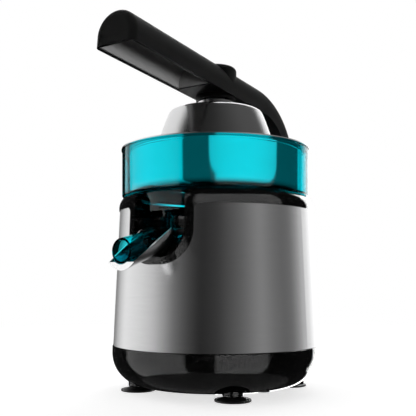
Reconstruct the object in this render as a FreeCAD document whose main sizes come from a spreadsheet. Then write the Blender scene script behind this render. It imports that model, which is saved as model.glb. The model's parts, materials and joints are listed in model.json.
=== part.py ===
import FreeCAD, Part
import math
import os

import Sketcher
from FreeCAD import Placement, Rotation, Vector

# A lever citrus press: millimetres, +Z up, front towards -Y.
# The origin is on the drive axis at the level of the counter.

SIZES = {
    # Base pan and feet
    "base_radius": 86.5,
    "base_round": 26.5,
    "base_under": 4.5,
    "base_floor": 2.5,
    "seam_height": 37.0,
    "seam_round": 0.8,
    "tongue_radius": 84.6,
    "tongue_gauge": 2.2,
    "tongue_rise": 4.0,
    "foot_circle": 65.0,
    "foot_radius": 14.0,
    "cup_depth": 1.6,
    "cup_curve": 49.0,
    "cup_rim": 1.6,
    "cup_edge": 1.3,
    "cup_shoulder": 6.5,
    "cup_back": 9.0,
    "foot_seat": 4.0,
    "foot_stem": 4.0,
    "foot_boss": 8.0,
    "foot_room": 7.0,
    "foot_room_rise": 6.0,
    "plug_radius": 5.4,
    "plug_tip": 4.4,
    "plug_rise": 3.0,
    "gland_height": 29.0,
    "gland_radius": 4.0,
    "gland_flange": 6.5,
    "gland_wall": 1.0,
    "gland_proud": 2.0,
    "gland_tail": 4.0,
    "block_length": 26.0,
    "block_width": 12.0,
    "block_height": 9.0,
    "block_front": 44.0,
    # Steel sleeve and the spout bay cut through it
    "sleeve_foot": 85.95,
    "sleeve_head": 81.9,
    "sleeve_top": 148.0,
    "sleeve_gauge": 1.0,
    "bay_half": 31.0,
    "bay_bottom": 102.0,
    "bay_round": 26.0,
    "bay_flare": 4.5,
    "mouth_half": 24.2,
    "mouth_bottom": 107.4,
    "mouth_round": 19.5,
    "bay_back": 50.0,
    "bay_wall": 2.2,
    "bezel_proud": 0.5,
    "bezel_depth": 3.0,
    # Collar that carries the bowl
    "collar_top": 160.2,
    "collar_lip": 77.6,
    "collar_round": 13.0,
    "well_radius": 74.3,
    "well_mouth": 76.7,
    "well_ledge": 157.5,
    "deck_top": 141.5,
    "deck_under": 139.0,
    "tower_radius": 11.5,
    "tower_top": 166.0,
    "skirt_radius": 80.7,
    "bezel_span": 60.0,
    # Bowl, strainer and reamer
    "bowl_rim": 80.7,
    "bowl_top": 201.0,
    "bowl_foot": 80.2,
    "bowl_wall": 2.1,
    "bowl_lip": 0.7,
    "neck_radius": 74.0,
    "neck_under": 144.0,
    "chimney_radius": 15.2,
    "chimney_bore": 12.2,
    "chimney_step": 166.0,
    "chimney_top": 171.0,
    "drain_offset": 67.5,
    "drain_radius": 5.0,
    "drain_bore": 3.8,
    "drain_end": 130.0,
    "drum_rim": 81.2,
    "drum_top": 201.9,
    "drum_head": 74.8,
    "drum_foot": 73.8,
    "drum_floor": 160.5,
    "drum_round": 8.0,
    "drum_gauge": 0.8,
    "neck_floor": 2.0,
    "bowl_corner": 1.2,
    "bowl_lip_height": 1.6,
    "chimney_ledge": 1.3,
    "slot_width": 1.8,
    "slot_rows": 24.0,
    "inner_slot_start": 27.0,
    "inner_slot_end": 41.0,
    "outer_slot_start": 45.0,
    "outer_slot_end": 61.0,
    "hub_flat": 4.5,
    "hub_slope": 4.0,
    "reamer_radius": 37.0,
    "reamer_foot": 189.0,
    "reamer_stem": 9.0,
    "reamer_brim": 2.0,
    "cone_radius": 31.0,
    "cone_top": 229.0,
    "cone_curve": 62.0,
    "cone_tip": 7.0,
    "cone_tip_drop": 3.5,
    "cone_flat": 1.5,
    "rib_count": 10.0,
    "rib_width": 2.6,
    "rib_proud": 2.5,
    "rib_curve": 60.0,
    # Drive train
    "plate_centre": 14.0,
    "plate_radius": 63.0,
    "plate_under": 76.0,
    "plate_gauge": 3.0,
    "cover_radius": 57.5,
    "cover_wall": 2.5,
    "cover_roof": 105.5,
    "column_circle": 50.0,
    "column_radius": 5.0,
    "rod_radius": 2.0,
    "rod_side_front": 62.0,
    "rod_front": 28.0,
    "rod_side_back": 66.0,
    "rod_back": 22.0,
    "rod_boss": 5.0,
    "rod_boss_rise": 14.0,
    "rod_boss_drop": 20.0,
    "rod_head_height": 2.0,
    "plate_screw": 1.25,
    "cover_screw": 1.5,
    "screw_head": 2.6,
    "screw_head_height": 1.6,
    "tap_depth": 10.0,
    "first_module": 1.0,
    "second_module": 1.25,
    "pinion_teeth": 14.0,
    "idler_teeth": 56.0,
    "output_teeth": 48.0,
    "mesh_gap": 0.2,
    "first_stage": 81.0,
    "first_width": 7.0,
    "second_stage": 90.0,
    "second_width": 9.0,
    "axle_radius": 2.5,
    "run_gap": 0.05,
    "motor_radius": 28.0,
    "motor_foot": 16.0,
    "motor_wall": 2.0,
    "motor_shaft": 3.0,
    "motor_boss": 6.0,
    "motor_head": 5.0,
    "motor_screw_side": 20.0,
    "core_start": 28.0,
    "core_end": 62.0,
    "rotor_radius": 20.0,
    "rotor_gap": 1.0,
    "idler_neck": 6.5,
    "hub_radius": 9.0,
    "ring_width": 2.5,
    "ring_gauge": 1.2,
    "hub_top": 109.0,
    "hex_flat": 8.0,
    "spindle_radius": 5.0,
    "bush_wall": 3.0,
    "seal_height": 4.0,
    "seal_lip": 1.2,
    "spindle_foot": 92.0,
    "flange_radius": 13.0,
    "flange_under": 121.0,
    "flange_gauge": 3.0,
    "spindle_top": 206.0,
    "press_travel": 3.0,
    "spring_wire": 0.55,
    "spring_mean": 6.6,
    "spring_turns": 4.0,
    "switch_side": 10.5,
    "switch_inner": 7.9,
    "switch_outer": 27.5,
    "switch_post": 15.5,
    "switch_half": 4.0,
    "button_radius": 1.8,
    # Tilting spout
    "nozzle_radius": 9.0,
    "nozzle_wall": 1.6,
    "nozzle_reach": 121.5,
    "nozzle_height": 111.0,
    "nozzle_slope": 14.0,
    "nozzle_length": 62.0,
    "spout_axis_y": 71.5,
    "spout_axis_z": 127.0,
    "trunnion_radius": 2.5,
    "ear_radius": 5.0,
    "ear_half": 13.0,
    "keel_front": 112.0,
    "keel_back": 87.0,
    "keel_width": 3.0,
    "inlet_front": 89.0,
    "inlet_back": 40.0,
    "inlet_low": 122.0,
    "inlet_high": 134.0,
    "scoop_back": 82.0,
    "scoop_reach": 122.0,
    "scoop_gauge": 1.0,
    "scoop_back_half": 15.0,
    "scoop_back_rim": 129.5,
    "scoop_back_floor": 109.5,
    "scoop_tip_half": 12.0,
    "scoop_tip_rim": 103.0,
    "scoop_tip_floor": 97.0,
    "lip_half": 5.4,
    "lip_floor": 101.2,
    # Lever arm
    "arm_width": 37.0,
    "arm_side": 8.5,
    "arm_height": 249.0,
    "arm_tilt": 4.6,
    "arm_reach": 134.0,
    "bend_start": 54.0,
    "bend_radius": 50.0,
    "arm_wall": 2.2,
    "grip_start": 132.0,
    "grip_end": 33.0,
    "grip_roof": 20.5,
    "liner_gauge": 1.4,
    "liner_inset": 0.8,
    "boss_radius": 18.3,
    "boss_foot": 17.3,
    "boss_top": 275.6,
    "boss_round": 3.5,
    "boss_under": 246.2,
    "boss_bore": 13.5,
    "boss_roof": 268.0,
    "tip_round": 5.0,
    # Rear hinge
    "hinge_y": 113.5,
    "hinge_z": 172.0,
    "hinge_pin": 4.0,
    "knuckle_radius": 11.0,
    "knuckle_half": 9.0,
    "ear_outer": 12.0,
    "ear_gap": 0.4,
    "shoulder_rise": 13.5,
    "bracket_half": 18.5,
    "bracket_foot": 108.0,
    "bracket_inner": 78.0,
    "bracket_web": 90.0,
    "bracket_sweep": 60.0,
    "bracket_neck": 84.0,
    "stop_reach": 131.5,
    "stop_drop": 11.5,
    "stop_height": 8.5,
    "knuckle_room": 3.0,
    "bracket_screw": 2.0,
    "bracket_screw_side": 9.0,
    "bracket_screw_low": 115.0,
    "bracket_screw_high": 130.0,
    "bracket_screw_head": 3.4,
    "bracket_screw_length": 12.0,
    "backplate_gauge": 3.0,
    "backplate_span": 26.0,
    # Press dome
    "dome_rim": 50.0,
    "dome_lip": 52.4,
    "dome_under": 205.6,
    "dome_top": 237.0,
    "dome_gauge": 1.0,
    "lip_round": 2.6,
    "side_curve": 180.0,
    "shoulder_radius": 41.2,
    "shoulder_height": 233.6,
    "shoulder_curve": 4.75,
    "crown_radius": 37.0,
    "crown_height": 236.4,
    "crown_curve": 760.0,
    "neck_ring": 15.8,
    "neck_top": 244.7,
    "stem_radius": 8.0,
    "stem_flange": 12.0,
    "stem_flange_gauge": 2.6,
    "stem_top": 266.0,
    "dome_axis": 259.0,
    "dome_pin": 2.5,
}


class Length:
    """A size that carries its spreadsheet expression and its present value."""

    def __init__(self, text, value):
        self.text = text
        self.value = value

    def join(self, sign, other, value):
        return Length("(%s %s %s)" % (self.text, sign, text_of(other)), value)

    def __add__(self, other):
        return self.join("+", other, self.value + value_of(other))

    def __sub__(self, other):
        return self.join("-", other, self.value - value_of(other))

    def __mul__(self, other):
        return self.join("*", other, self.value * value_of(other))

    def __truediv__(self, other):
        return self.join("/", other, self.value / value_of(other))

    def __radd__(self, other):
        return self + other

    def __rsub__(self, other):
        return -self + other

    def __rmul__(self, other):
        return self * other

    def __neg__(self):
        return Length("(-1 * %s)" % self.text, -self.value)

    def __float__(self):
        return self.value


def text_of(size):
    return size.text if isinstance(size, Length) else "%.6g" % size


def value_of(size):
    return size.value if isinstance(size, Length) else float(size)


class Sheet:
    """The driving sizes, read by name."""

    def __getattr__(self, alias):
        return Length("Sizes." + alias, SIZES[alias])


doc = FreeCAD.newDocument("citrus_press")
table = doc.addObject("Spreadsheet::Sheet", "Sizes")
for row, (alias, number) in enumerate(SIZES.items(), start=1):
    table.set("A%d" % row, alias)
    table.set("B%d" % row, "%g" % number)
    table.setAlias("B%d" % row, alias)
doc.recompute()

s = Sheet()
pieces = []


def bind(thing, path, size):
    """Tie one property of an object to the sheet."""
    thing.setExpression(path, text_of(size))


def keep(thing):
    """Count an object of the document among the pieces that are written out."""
    pieces.append(thing)
    return thing


# Sketches

def new_body(label):
    body = doc.addObject("PartDesign::Body", label)
    body.Label = label
    return body


def new_sketch(body, name, plane, lift=0, tilt=0, rise=0):
    """A sketch on an origin plane, lifted along its normal, raised along its own y and tilted about x."""
    sketch = body.newObject("Sketcher::SketchObject", body.Label + "_" + name)
    role = plane + "_Plane"
    support = [item for item in body.Origin.OriginFeatures if item.Role == role][0]
    sketch.AttachmentSupport = (support, [""])
    sketch.MapMode = "FlatFace"
    sketch.AttachmentOffset = Placement(Vector(0, value_of(rise), value_of(lift)),
                                        Rotation(Vector(1, 0, 0), value_of(tilt)))
    for path, size in (("Base.z", lift), ("Base.y", rise)):
        if isinstance(size, Length):
            bind(sketch, "AttachmentOffset." + path, size)
    return sketch


def pin_point(sketch, geometry, end, point):
    """Fix a point of the sketch to sizes measured from the sketch's origin."""
    for kind, axis, size in (("DistanceX", -2, point[0]), ("DistanceY", -1, point[1])):
        value = value_of(size)
        if abs(value) < 1e-9:
            sketch.addConstraint(Sketcher.Constraint("PointOnObject", geometry, end, axis))
        elif value > 0:
            index = sketch.addConstraint(Sketcher.Constraint(kind, -1, 1, geometry, end, value))
            bind(sketch, "Constraints[%d]" % index, size)
        else:
            index = sketch.addConstraint(Sketcher.Constraint(kind, geometry, end, -1, 1, -value))
            bind(sketch, "Constraints[%d]" % index, Length("(-1 * %s)" % text_of(size), -value))


def arc_between(first, last, radius):
    """The shorter arc from one point to another; a positive radius turns left."""
    a = Vector(value_of(first[0]), value_of(first[1]), 0)
    b = Vector(value_of(last[0]), value_of(last[1]), 0)
    size = abs(value_of(radius))
    chord = b - a
    reach = math.sqrt(max(size ** 2 - (chord.Length / 2) ** 2, 0))
    across = Vector(-chord.y, chord.x, 0).normalize()
    centre = (a + b) / 2 + across * (reach if value_of(radius) > 0 else -reach)
    start, stop = (a, b) if value_of(radius) > 0 else (b, a)
    angle = [math.atan2(p.y - centre.y, p.x - centre.x) for p in (start, stop)]
    return Part.ArcOfCircle(Part.Circle(centre, Vector(0, 0, 1), size), angle[0], angle[1])


def draw(sketch, start, steps, closed=True):
    """Draw a chain of lines (x, y) and arcs (x, y, radius) from start, each corner tied to the sheet."""
    corners = [start] + [step[:2] for step in steps]
    if closed:
        steps = list(steps) + [start]
    ends = []
    for index, step in enumerate(steps):
        first = corners[index]
        last = step[:2]
        if len(step) == 3:
            geometry = sketch.addGeometry(arc_between(first, last, step[2]))
            size = step[2] if value_of(step[2]) > 0 else -step[2]
            rule = sketch.addConstraint(Sketcher.Constraint("Radius", geometry, value_of(size)))
            bind(sketch, "Constraints[%d]" % rule, size)
            ends.append((geometry, 1, 2) if value_of(step[2]) > 0 else (geometry, 2, 1))
        else:
            a = Vector(value_of(first[0]), value_of(first[1]), 0)
            b = Vector(value_of(last[0]), value_of(last[1]), 0)
            geometry = sketch.addGeometry(Part.LineSegment(a, b))
            ends.append((geometry, 1, 2))
    for index, (geometry, begin, finish) in enumerate(ends):
        pin_point(sketch, geometry, begin, corners[index])
        if index + 1 < len(ends):
            after = ends[index + 1]
        elif closed:
            after = ends[0]
        else:
            pin_point(sketch, geometry, finish, steps[-1][:2])
            continue
        sketch.addConstraint(Sketcher.Constraint("Coincident", geometry, finish, after[0], after[1]))
    return sketch


def circle(sketch, centre, radius):
    """Add a full circle whose centre and radius follow the sheet."""
    place = Vector(value_of(centre[0]), value_of(centre[1]), 0)
    geometry = sketch.addGeometry(Part.Circle(place, Vector(0, 0, 1), value_of(radius)))
    pin_point(sketch, geometry, 3, centre)
    rule = sketch.addConstraint(Sketcher.Constraint("Radius", geometry, value_of(radius)))
    bind(sketch, "Constraints[%d]" % rule, radius)
    return sketch


# Features

def volume_of(body):
    doc.recompute()
    return body.Shape.Volume if body.Tip else 0.0


def turn(body, sketch, angle=360.0, cut=False):
    """Revolve a sketch about its own vertical axis, adding or cutting."""
    before = volume_of(body)
    kind = "PartDesign::Groove" if cut else "PartDesign::Revolution"
    feature = body.newObject(kind, sketch.Name + "_turn")
    feature.Profile = sketch
    feature.ReferenceAxis = (sketch, ["V_Axis"])
    feature.Angle = angle
    if angle < 360:
        feature.Midplane = True
    expect_change(body, feature, before, cut)
    return feature


def extrude(body, sketch, length=None, cut=False, both=False, flip=False):
    """Pad or pocket a sketch: along its normal, or against it when flipped; through all without a length."""
    before = volume_of(body)
    kind = "PartDesign::Pocket" if cut else "PartDesign::Pad"
    feature = body.newObject(kind, sketch.Name + "_run")
    feature.Profile = sketch
    if length is None:
        feature.Type = "ThroughAll"
    else:
        feature.Length = value_of(length)
        bind(feature, "Length", length)
    if both:
        feature.SideType = "Symmetric"
    elif flip != cut:
        feature.Reversed = True
    expect_change(body, feature, before, cut)
    return feature


def expect_change(body, feature, before, cut):
    """Stop when a feature has added or removed nothing."""
    after = volume_of(body)
    moved = before - after if cut else after - before
    if moved <= 0.01:
        raise RuntimeError("%s changes nothing: %.3f to %.3f" % (feature.Name, before, after))


def spread(body, features, count):
    """Repeat features round the Z axis of the body."""
    pattern = body.newObject("PartDesign::PolarPattern", body.Label + "_ring_" + features[0].Name)
    pattern.Originals = features
    axis = [item for item in body.Origin.OriginFeatures if item.Role == "Z_Axis"][0]
    pattern.Axis = (axis, [""])
    pattern.Angle = 360.0
    pattern.Occurrences = int(value_of(count))
    body.Tip = pattern
    doc.recompute()
    return pattern


def soften(body, picks, radius):
    """Round the edges of the body that the picking rule accepts."""
    doc.recompute()
    names = ["Edge%d" % (i + 1) for i, edge in enumerate(body.Shape.Edges) if picks(edge)]
    feature = body.newObject("PartDesign::Fillet", body.Label + "_round_%d" % len(body.Group))
    feature.Base = (body.Group[-2], names)
    feature.Radius = value_of(radius)
    bind(feature, "Radius", radius)
    doc.recompute()
    return feature


def ring_piece(label, start, steps):
    """A piece made by turning one outline about the drive axis."""
    body = new_body(label)
    sketch = draw(new_sketch(body, "outline", "XZ"), start, steps)
    turn(body, sketch)
    return keep(body)


def rod(label, radius, length, place, along_x=False):
    """A plain round pin standing on its place, or lying along +X from it."""
    pin = doc.addObject("Part::Cylinder", label)
    pin.Label = label
    bind(pin, "Radius", radius)
    bind(pin, "Height", length)
    spin = Rotation(Vector(0, 1, 0), 90) if along_x else Rotation()
    pin.Placement = Placement(Vector(*[value_of(size) for size in place]), spin)
    for axis, size in zip("xyz", place):
        if isinstance(size, Length):
            bind(pin, "Placement.Base." + axis, size)
    return keep(pin)


def fixed_shape(label, shape):
    """A piece whose shape is worked out in code from the sheet."""
    thing = doc.addObject("Part::Feature", label)
    thing.Label = label
    thing.Shape = shape
    thing.Placement = Placement()
    return keep(thing)


def screw(place, shank, length, head, head_height, direction=Vector(0, 0, -1)):
    """One round-headed screw: the head sits on its place and the shank runs along the direction."""
    body = Part.makeCylinder(shank, length, place, direction)
    cap = Part.makeCylinder(head, head_height, place, direction * -1)
    return body.fuse(cap).removeSplitter()


# Housing

def sleeve_radius(height):
    """Outer radius of the steel at a height."""
    fall = (s.sleeve_foot - s.sleeve_head) / (s.sleeve_top - s.seam_height)
    return s.sleeve_foot - fall * (height - s.seam_height)


ROD_PLACES = [
    (s.rod_side_front, -s.rod_front),
    (-s.rod_side_front, -s.rod_front),
    (s.rod_side_back, s.rod_back),
    (-s.rod_side_back, s.rod_back),
]
ROD_SOCKET = s.rod_radius + s.run_gap
COLUMN_STEP = s.column_circle * math.sqrt(0.5)
COLUMN_PLACES = [
    (COLUMN_STEP * side, s.plate_centre + COLUMN_STEP * way)
    for side in (1, -1)
    for way in (1, -1)
]
ROD_FOOT = s.foot_seat * 2 + 1
CORD_WALL = s.tongue_radius - s.tongue_gauge
BRACKET_SCREWS = [
    (s.bracket_screw_side * side, height)
    for side in (1, -1)
    for height in (s.bracket_screw_low, s.bracket_screw_high)
]
# A boss reaches this far into the wall that carries it, and a cut runs this far past what it cuts.
ROOT = 1.0
PAST = 5.0


def base_pan():
    body = new_body("base_pan")
    inner = CORD_WALL
    inner_round = s.base_round - s.base_floor
    floor = s.base_under + s.base_floor
    sketch = draw(new_sketch(body, "outline", "XZ"), (0, s.base_under), [
        (s.base_radius - s.base_round, s.base_under),
        (s.base_radius, s.base_under + s.base_round, s.base_round),
        (s.base_radius, s.seam_height - s.seam_round),
        (s.base_radius - s.seam_round, s.seam_height, s.seam_round),
        (s.tongue_radius, s.seam_height),
        (s.tongue_radius, s.seam_height + s.tongue_rise),
        (inner, s.seam_height + s.tongue_rise),
        (inner, floor + inner_round),
        (inner - inner_round, floor, -inner_round),
        (0, floor),
    ])
    turn(body, sketch)
    columns = new_sketch(body, "columns", "XY", lift=floor - ROOT)
    for place in COLUMN_PLACES:
        circle(columns, place, s.column_radius)
    extrude(body, columns, s.plate_under - floor + ROOT)
    bosses = new_sketch(body, "rod_bosses", "XY", lift=floor - ROOT)
    for place in ROD_PLACES:
        circle(bosses, place, s.rod_boss)
    extrude(body, bosses, s.rod_boss_rise)
    seats = new_sketch(body, "foot_seats", "XY", lift=s.foot_seat)
    for degrees in FOOT_ANGLES:
        circle(seats, foot_place(degrees), s.foot_boss)
    extrude(body, seats, s.foot_seat)
    sockets = new_sketch(body, "foot_sockets", "XY")
    for degrees in FOOT_ANGLES:
        circle(sockets, foot_place(degrees), s.foot_stem + s.run_gap)
    extrude(body, sockets, s.foot_seat * 2, cut=True)
    clear = new_sketch(body, "foot_clearance", "XY", lift=s.foot_seat * 2)
    for degrees in FOOT_ANGLES:
        circle(clear, foot_place(degrees), s.foot_room)
    extrude(body, clear, s.foot_room_rise, cut=True)
    heads = new_sketch(body, "rod_heads", "XY")
    for place in ROD_PLACES:
        circle(heads, place, s.rod_radius * 2 + s.run_gap)
    extrude(body, heads, ROD_FOOT, cut=True)
    holes = new_sketch(body, "rod_holes", "XY")
    for place in ROD_PLACES:
        circle(holes, place, ROD_SOCKET)
    extrude(body, holes, cut=True)
    taps = new_sketch(body, "column_taps", "XY", lift=s.plate_under - s.tap_depth)
    for place in COLUMN_PLACES:
        circle(taps, place, s.plate_screw + s.run_gap)
    extrude(body, taps, cut=True)
    cord = circle(new_sketch(body, "cord_hole", "XZ"), (0, s.gland_height), s.gland_radius + s.run_gap)
    extrude(body, cord, cut=True, flip=True)
    keep(body)


FOOT_ANGLES = (45, 135, 225, 315)


def foot_place(degrees):
    return (s.foot_circle * math.cos(math.radians(degrees)),
            s.foot_circle * math.sin(math.radians(degrees)))


def suction_foot(number, degrees):
    stem_top = s.foot_seat * 2
    foot = ring_piece("suction_foot_%d" % number, (0, s.cup_depth), [
        (s.foot_stem / 2, s.cup_depth),
        (s.foot_radius - s.cup_rim, 0, -s.cup_curve),
        (s.foot_radius, 0),
        (s.foot_radius, s.cup_edge),
        (s.cup_shoulder, s.foot_seat, -s.cup_back),
        (s.foot_stem, s.foot_seat),
        (s.foot_stem, stem_top + s.run_gap),
        (s.plug_radius, stem_top + s.run_gap),
        (s.plug_tip, stem_top + s.plug_rise),
        (0, stem_top + s.plug_rise),
    ])
    x, y = foot_place(degrees)
    bind(foot, "Placement.Base.x", x)
    bind(foot, "Placement.Base.y", y)


def bay_steps(half, bottom, corner, top):
    """The U of the spout bay from its top left to its top right."""
    return (-half, top), [
        (-half, bottom + corner),
        (corner - half, bottom, corner),
        (half - corner, bottom),
        (half, bottom + corner, corner),
        (half, top),
    ]


def flared_bay(gap):
    """The U that the steel and the bezel share, its mouth flared at the top edge of the steel."""
    half = s.bay_half + gap
    flare_foot = s.sleeve_top - s.bay_flare
    return (-half - s.bay_flare, s.sleeve_top), [
        (-half, flare_foot, -s.bay_flare),
        (-half, s.bay_bottom + s.bay_round),
        (s.bay_round - half, s.bay_bottom - gap, s.bay_round),
        (half - s.bay_round, s.bay_bottom - gap),
        (half, s.bay_bottom + s.bay_round, s.bay_round),
        (half, flare_foot),
        (half + s.bay_flare, s.sleeve_top, -s.bay_flare),
    ]


def steel_sleeve():
    body = new_body("steel_sleeve")
    sketch = draw(new_sketch(body, "outline", "XZ"), (s.sleeve_foot - s.sleeve_gauge, s.seam_height), [
        (s.sleeve_foot, s.seam_height),
        (s.sleeve_head, s.sleeve_top),
        (s.sleeve_head - s.sleeve_gauge, s.sleeve_top),
    ])
    turn(body, sketch)
    start, steps = flared_bay(s.run_gap)
    brim = s.sleeve_top + PAST
    edge = s.bay_half + s.run_gap + s.bay_flare
    bay = draw(new_sketch(body, "bay", "XZ"), start, steps + [(edge, brim), (-edge, brim)])
    extrude(body, bay, cut=True)
    screws = new_sketch(body, "bracket_holes", "XZ")
    for place in BRACKET_SCREWS:
        circle(screws, place, s.bracket_screw + s.run_gap)
    extrude(body, screws, cut=True, flip=True)
    keep(body)


def top_collar():
    body = new_body("top_collar")
    low = s.bay_bottom - ROOT
    high = s.sleeve_top + ROOT
    shell = draw(new_sketch(body, "bezel", "YZ"), (-(sleeve_radius(low) + s.bezel_proud), low), [
        (-(sleeve_radius(high) + s.bezel_proud), high),
        (-(sleeve_radius(high) - s.bezel_depth), high),
        (-(sleeve_radius(low) - s.bezel_depth), low),
    ])
    turn(body, shell, angle=s.bezel_span.value)
    start, steps = flared_bay(0)
    side = s.bay_half + s.bay_round
    trim = draw(new_sketch(body, "bezel_edge", "XZ"), start, steps + [
        (side, s.sleeve_top), (side, low - PAST), (-side, low - PAST), (-side, s.sleeve_top)])
    extrude(body, trim, cut=True)
    shoulder = s.sleeve_head + s.bezel_proud
    bush = s.spindle_radius + s.bush_wall
    ring = draw(new_sketch(body, "ring", "XZ"), (shoulder, s.sleeve_top), [
        (s.collar_lip, s.collar_top, s.collar_round),
        (s.well_mouth, s.collar_top),
        (s.well_mouth, s.well_ledge),
        (s.well_radius, s.well_ledge),
        (s.well_radius, s.deck_top),
        (s.tower_radius, s.deck_top),
        (s.tower_radius, s.tower_top),
        (bush + s.run_gap, s.tower_top),
        (bush + s.run_gap, s.deck_under),
        (s.skirt_radius, s.deck_under),
        (s.skirt_radius, s.sleeve_top),
    ])
    turn(body, ring)
    bosses = new_sketch(body, "rod_bosses", "XY", lift=s.deck_under)
    for place in ROD_PLACES:
        circle(bosses, place, s.rod_boss)
    extrude(body, bosses, s.rod_boss_drop, flip=True)
    holes = new_sketch(body, "rod_holes", "XY", lift=s.deck_under - s.rod_boss_drop)
    for place in ROD_PLACES:
        circle(holes, place, ROD_SOCKET)
    extrude(body, holes, s.rod_boss_drop - ROOT, cut=True)
    start, steps = bay_steps(s.mouth_half, s.mouth_bottom, s.mouth_round, s.collar_top + PAST)
    mouth = draw(new_sketch(body, "mouth", "XZ", lift=s.bay_back), start, steps)
    extrude(body, mouth, cut=True)
    keep(body)


def spout_bay():
    """The lining of the recess behind the bezel, with bearings for the spout."""
    body = new_body("spout_bay")
    top = s.deck_under
    outer = bay_steps(s.mouth_half + s.bay_wall, s.mouth_bottom - s.bay_wall, s.mouth_round + s.bay_wall, top)
    back = draw(new_sketch(body, "back", "XZ", lift=s.bay_back - s.bay_wall), *outer)
    extrude(body, back, s.base_radius - s.bay_back)
    inner = bay_steps(s.mouth_half, s.mouth_bottom, s.mouth_round, top + PAST)
    space = draw(new_sketch(body, "space", "XZ", lift=s.bay_back), *inner)
    extrude(body, space, cut=True)
    reach = s.bezel_depth + s.run_gap
    low = s.bay_bottom - PAST
    high = top + PAST
    outside = s.base_radius + PAST
    front = draw(new_sketch(body, "front", "YZ"), (-(sleeve_radius(low) - reach), low), [
        (-(sleeve_radius(high) - reach), high),
        (-outside, high),
        (-outside, low),
    ])
    turn(body, front, cut=True)
    bearings = circle(new_sketch(body, "bearings", "YZ"), (-s.spout_axis_y, s.spout_axis_z),
                      s.trunnion_radius + s.run_gap)
    extrude(body, bearings, (s.mouth_half + s.bay_wall + PAST) * 2, cut=True, both=True)
    keep(body)


def cord_gland():
    """A rubber bush in the rear wall of the base, where the flex enters."""
    body = new_body("cord_gland")
    outside = s.base_radius + s.run_gap
    hole = circle(new_sketch(body, "barrel", "XZ", lift=-outside), (0, s.gland_height), s.gland_radius)
    extrude(body, hole, outside - CORD_WALL + s.gland_tail)
    rear = outside + s.gland_proud
    flange = circle(new_sketch(body, "flange", "XZ", lift=-rear), (0, s.gland_height), s.gland_flange)
    extrude(body, flange, s.gland_proud)
    opening = s.gland_radius - s.gland_wall
    bore = circle(new_sketch(body, "bore", "XZ", lift=-rear), (0, s.gland_height), opening)
    extrude(body, bore, rear - CORD_WALL + s.gland_tail, cut=True)
    keep(body)


def terminal_block():
    """The block where the flex is joined to the motor leads."""
    block = doc.addObject("Part::Box", "terminal_block")
    block.Label = "terminal_block"
    floor = s.base_under + s.base_floor
    for path, size in (("Length", s.block_length), ("Width", s.block_width), ("Height", s.block_height)):
        bind(block, path, size)
    bind(block, "Placement.Base.x", s.block_length / -2)
    bind(block, "Placement.Base.y", s.block_front)
    bind(block, "Placement.Base.z", floor)
    keep(block)


def tie_rods():
    """Four long screws that clamp the sleeve between the base and the collar."""
    foot = ROD_FOOT.value
    length = s.deck_under.value - ROOT * 2 - foot
    head = s.rod_radius.value * 1.9
    rods = []
    for place in ROD_PLACES:
        stand = Vector(place[0].value, place[1].value, foot)
        rods.append(screw(stand, s.rod_radius.value, length, head, s.rod_head_height.value, Vector(0, 0, 1)))
    fixed_shape("tie_rods", Part.makeCompound(rods))


# Drive train

FIRST_SPACING = (s.pinion_teeth + s.idler_teeth) * s.first_module / 2 + s.mesh_gap
SECOND_SPACING = (s.pinion_teeth + s.output_teeth) * s.second_module / 2 + s.mesh_gap
IDLER_Y = SECOND_SPACING
MOTOR_Y = SECOND_SPACING - FIRST_SPACING
PLATE_TOP = s.plate_under + s.plate_gauge


def gear_outline(teeth, module, phase):
    """Corners of a spur gear with involute flanks and a little backlash."""
    pitch = module * teeth / 2
    base = pitch * math.cos(math.radians(20))
    tip = pitch + 0.9 * module
    root = pitch - 1.15 * module
    half_tooth = math.pi / (2 * teeth) * 0.86
    spread_at_pitch = math.tan(math.radians(20)) - math.radians(20)
    flank = []
    for step in range(5):
        radius = max(root, base) + (tip - max(root, base)) * step / 4
        roll = math.acos(min(1.0, base / radius))
        flank.append((radius, half_tooth + spread_at_pitch - (math.tan(roll) - roll)))
    corners = []
    for tooth in range(teeth):
        middle = phase + 2 * math.pi * tooth / teeth
        sides = [(root, flank[0][1])] + flank
        corners += [(radius, middle - angle) for radius, angle in sides]
        corners += [(radius, middle + angle) for radius, angle in reversed(sides)]
    return [Vector(radius * math.cos(angle), radius * math.sin(angle), 0) for radius, angle in corners]


def gear_disc(teeth, module, centre_y, foot, width, phase=0.0):
    corners = gear_outline(int(teeth.value), module.value, phase)
    face = Part.Face(Part.makePolygon(corners + [corners[0]]))
    face.translate(Vector(0, value_of(centre_y), value_of(foot)))
    return face.extrude(Vector(0, 0, value_of(width)))


def post(radius, centre_y, foot, top):
    return Part.makeCylinder(value_of(radius), value_of(top) - value_of(foot),
                             Vector(0, value_of(centre_y), value_of(foot)))


def gear_plate():
    body = new_body("gear_plate")
    disc = circle(new_sketch(body, "disc", "XY", lift=s.plate_under), (0, s.plate_centre), s.plate_radius)
    extrude(body, disc, s.plate_gauge)
    holes = new_sketch(body, "holes", "XY", lift=s.plate_under)
    circle(holes, (0, MOTOR_Y), s.motor_boss)
    circle(holes, (0, IDLER_Y), s.axle_radius)
    for place in COLUMN_PLACES:
        circle(holes, place, s.cover_screw + s.run_gap)
    for place in MOTOR_SCREWS:
        circle(holes, place, s.cover_screw + s.run_gap)
    for degrees in COVER_ANGLES:
        circle(holes, cover_place(degrees), s.cover_screw + s.run_gap)
    extrude(body, holes, cut=True)
    keep(body)


MOTOR_SCREWS = [(s.motor_screw_side * side, MOTOR_Y) for side in (1, -1)]
COVER_ANGLES = (0, 90, 180, 270)


def cover_place(degrees):
    middle = (s.cover_radius + s.plate_radius) / 2
    return (middle * math.cos(math.radians(degrees)),
            s.plate_centre + middle * math.sin(math.radians(degrees)))


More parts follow.
